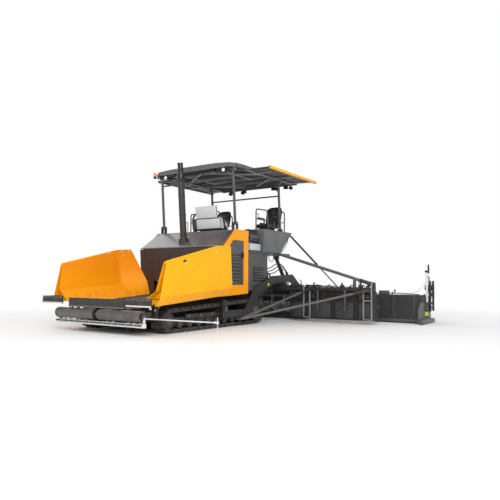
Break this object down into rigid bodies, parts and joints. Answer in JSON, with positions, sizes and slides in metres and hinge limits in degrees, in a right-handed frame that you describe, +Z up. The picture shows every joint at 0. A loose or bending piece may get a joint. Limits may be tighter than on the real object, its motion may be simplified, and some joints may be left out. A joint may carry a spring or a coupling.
{
  "type": "asphalt paver on tracks",
  "caption": "Tracked asphalt paver with a folding hopper, push rollers, roofed platform, augers and a wide extendable screed carried on tow arms.",
  "frame": {"origin": "on the floor under the middle of the whole machine's box", "axes": "+Z up, +X the machine's left side and the length of the screed, -Y its front"},
  "size_m": [9.2506, 7.2, 3.79],
  "materials": {
    "black_paint": "satin",
    "dark_grey_paint": "satin",
    "yellow_paint": "gloss",
    "hood_brown": "satin",
    "roof_grey": "satin",
    "white_paint": "satin",
    "rail_paint": "satin",
    "worn_steel": "worn",
    "chrome_rod": "polished",
    "engine_grey": "matt",
    "track_rubber": "matt",
    "flap_rubber": "matt",
    "hose_rubber": "satin",
    "seat_black": "satin",
    "console_plastic": "matt",
    "lamp_black": "gloss"
  },
  "bodies": {
    "root": {"chassis_frame": "black_paint", "engine_frames": "black_paint", "track_frame_left": "black_paint", "track_frame_right": "black_paint", "track_left": "track_rubber", "track_right": "track_rubber", "hopper_floor": "worn_steel", "hopper_rear_wall": "hood_brown", "engine_hood": "hood_brown", "engine_block": "engine_grey", "side_panels": "yellow_paint", "rear_body": "dark_grey_paint", "operator_deck": "dark_grey_paint", "side_consoles": "dark_grey_paint", "steering_console": "console_plastic", "seats": "seat_black", "handrails": "rail_paint", "exhaust_stack": "black_paint", "post_feet": "black_paint", "auger_box": "black_paint", "auger_tunnels": "black_paint", "brace_tubes": "black_paint", "rear_hoses": "hose_rubber"},
    "push_beam": {"push_beam": "black_paint", "push_bar": "white_paint", "steering_guide": "white_paint"},
    "push_roller_left": {"push_roller_left": "worn_steel"},
    "push_roller_right": {"push_roller_right": "worn_steel"},
    "wing_left": {"hopper_wing_left": "yellow_paint", "wing_flap_left": "flap_rubber"},
    "wing_right": {"hopper_wing_right": "yellow_paint", "wing_flap_right": "flap_rubber"},
    "wing_barrel_left": {"wing_cylinder_left": "black_paint"},
    "wing_barrel_right": {"wing_cylinder_right": "black_paint"},
    "wing_rod_left": {"wing_rod_left": "chrome_rod"},
    "wing_rod_right": {"wing_rod_right": "chrome_rod"},
    "front_apron": {"front_apron": "black_paint"},
    "door_left": {"grille_door_left": "dark_grey_paint"},
    "door_right": {"grille_door_right": "dark_grey_paint"},
    "auger_left": {"auger_left": "worn_steel"},
    "auger_right": {"auger_right": "worn_steel"},
    "roof_posts_rear": {"roof_posts_rear": "dark_grey_paint"},
    "roof_posts_front": {"roof_posts_front": "dark_grey_paint"},
    "roof": {"roof_canopy": "roof_grey", "roof_awnings": "roof_grey", "roof_lights": "lamp_black"},
    "screed": {"tow_arms": "black_paint", "screed_base": "black_paint"},
    "extension_left": {"screed_extension_left": "black_paint", "end_gate_left": "dark_grey_paint"},
    "extension_right": {"screed_extension_right": "black_paint", "end_gate_right": "dark_grey_paint"},
    "lift_barrels": {"lift_barrels": "black_paint"},
    "lift_rods": {"lift_rods": "chrome_rod"}
  },
  "joints": [
    {"name": "push_beam_pivot", "type": "hinge", "parent": "root", "child": "push_beam", "pos_m": [0, -3.21, 0.363], "axis": [0, 0, 1], "range_deg": [-4, 4]},
    {"name": "push_roller_left_spin", "type": "hinge", "parent": "push_beam", "child": "push_roller_left", "pos_m": [0.6, -3.45, 0.363], "axis": [1, 0, 0], "continuous": true},
    {"name": "push_roller_right_spin", "type": "hinge", "parent": "push_beam", "child": "push_roller_right", "pos_m": [-0.6, -3.45, 0.363], "axis": [1, 0, 0], "continuous": true},
    {"name": "hopper_wing_left_fold", "type": "hinge", "parent": "root", "child": "wing_left", "pos_m": [0.872, -3.45, 0.505], "axis": [0, -0.9973, -0.0732], "range_deg": [0, 50]},
    {"name": "wing_cylinder_left_swing", "type": "hinge", "parent": "root", "child": "wing_barrel_left", "pos_m": [0.79, -3.05, 0.17], "axis": [0, -1, 0], "range_deg": [0, 27.19]},
    {"name": "wing_rod_left_slide", "type": "slide", "parent": "wing_barrel_left", "child": "wing_rod_left", "axis": [0.7645, 0, 0.6446], "range_m": [0, 0.12881]},
    {"name": "hopper_wing_right_fold", "type": "hinge", "parent": "root", "child": "wing_right", "pos_m": [-0.872, -3.45, 0.505], "axis": [0, 0.9973, 0.0732], "range_deg": [0, 50]},
    {"name": "wing_cylinder_right_swing", "type": "hinge", "parent": "root", "child": "wing_barrel_right", "pos_m": [-0.79, -3.05, 0.17], "axis": [0, 1, 0], "range_deg": [0, 27.19]},
    {"name": "wing_rod_right_slide", "type": "slide", "parent": "wing_barrel_right", "child": "wing_rod_right", "axis": [-0.7645, 0, 0.6446], "range_m": [0, 0.12881]},
    {"name": "front_apron_fold", "type": "hinge", "parent": "root", "child": "front_apron", "pos_m": [0, -3.496, 0.52], "axis": [1, 0, 0], "range_deg": [0, 55]},
    {"name": "grille_door_left_hinge", "type": "hinge", "parent": "root", "child": "door_left", "pos_m": [1.227, -0.837, 1.4], "axis": [0, 0, -1], "range_deg": [0, 95]},
    {"name": "grille_door_right_hinge", "type": "hinge", "parent": "root", "child": "door_right", "pos_m": [-1.227, -0.837, 1.4], "axis": [0, 0, 1], "range_deg": [0, 95]},
    {"name": "auger_left_spin", "type": "hinge", "parent": "root", "child": "auger_left", "pos_m": [1.8, 1.895, 0.41], "axis": [1, 0, 0], "continuous": true},
    {"name": "auger_right_spin", "type": "hinge", "parent": "root", "child": "auger_right", "pos_m": [-1.8, 1.895, 0.41], "axis": [1, 0, 0], "continuous": true},
    {"name": "roof_fold", "type": "hinge", "parent": "root", "child": "roof_posts_rear", "pos_m": [0, 1.585, 2.35], "axis": [-1, 0, 0], "range_deg": [0, 60]},
    {"name": "roof_level", "type": "hinge", "parent": "roof_posts_rear", "child": "roof", "pos_m": [0, 1.48662, 3.6], "axis": [-1, 0, 0], "range_deg": [-60, 0]},
    {"name": "roof_posts_front_swing", "type": "hinge", "parent": "root", "child": "roof_posts_front", "pos_m": [0, -0.465, 2.35], "axis": [-1, 0, 0], "range_deg": [0, 60]},
    {"name": "screed_lift", "type": "hinge", "parent": "root", "child": "screed", "pos_m": [0, -1.05, 0.395], "axis": [1, 0, 0], "range_deg": [0, 8]},
    {"name": "screed_extension_left_slide", "type": "slide", "parent": "screed", "child": "extension_left", "axis": [1, 0, 0], "range_m": [-0.7, 0]},
    {"name": "screed_extension_right_slide", "type": "slide", "parent": "screed", "child": "extension_right", "axis": [-1, 0, 0], "range_m": [-0.7, 0]},
    {"name": "lift_cylinder_swing", "type": "hinge", "parent": "root", "child": "lift_barrels", "pos_m": [0, 1.65, 1.625], "axis": [1, 0, 0], "range_deg": [0, 18.6]},
    {"name": "lift_rod_slide", "type": "slide", "parent": "lift_barrels", "child": "lift_rods", "axis": [0, 0.6069, -0.7948], "range_m": [-0.38496, 0]}
  ],
  "couplings": [
    {"joint": "wing_cylinder_left_swing", "follows": "hopper_wing_left_fold", "ratio": 0.54385},
    {"joint": "wing_rod_left_slide", "follows": "hopper_wing_left_fold", "m_per_rad": 0.14761},
    {"joint": "wing_cylinder_right_swing", "follows": "hopper_wing_right_fold", "ratio": 0.54385},
    {"joint": "wing_rod_right_slide", "follows": "hopper_wing_right_fold", "m_per_rad": 0.14761},
    {"joint": "roof_level", "follows": "roof_fold", "ratio": -1},
    {"joint": "roof_posts_front_swing", "follows": "roof_fold", "ratio": 1},
    {"joint": "lift_cylinder_swing", "follows": "screed_lift", "ratio": 2.3252},
    {"joint": "lift_rod_slide", "follows": "screed_lift", "m_per_rad": -2.7571}
  ]
}
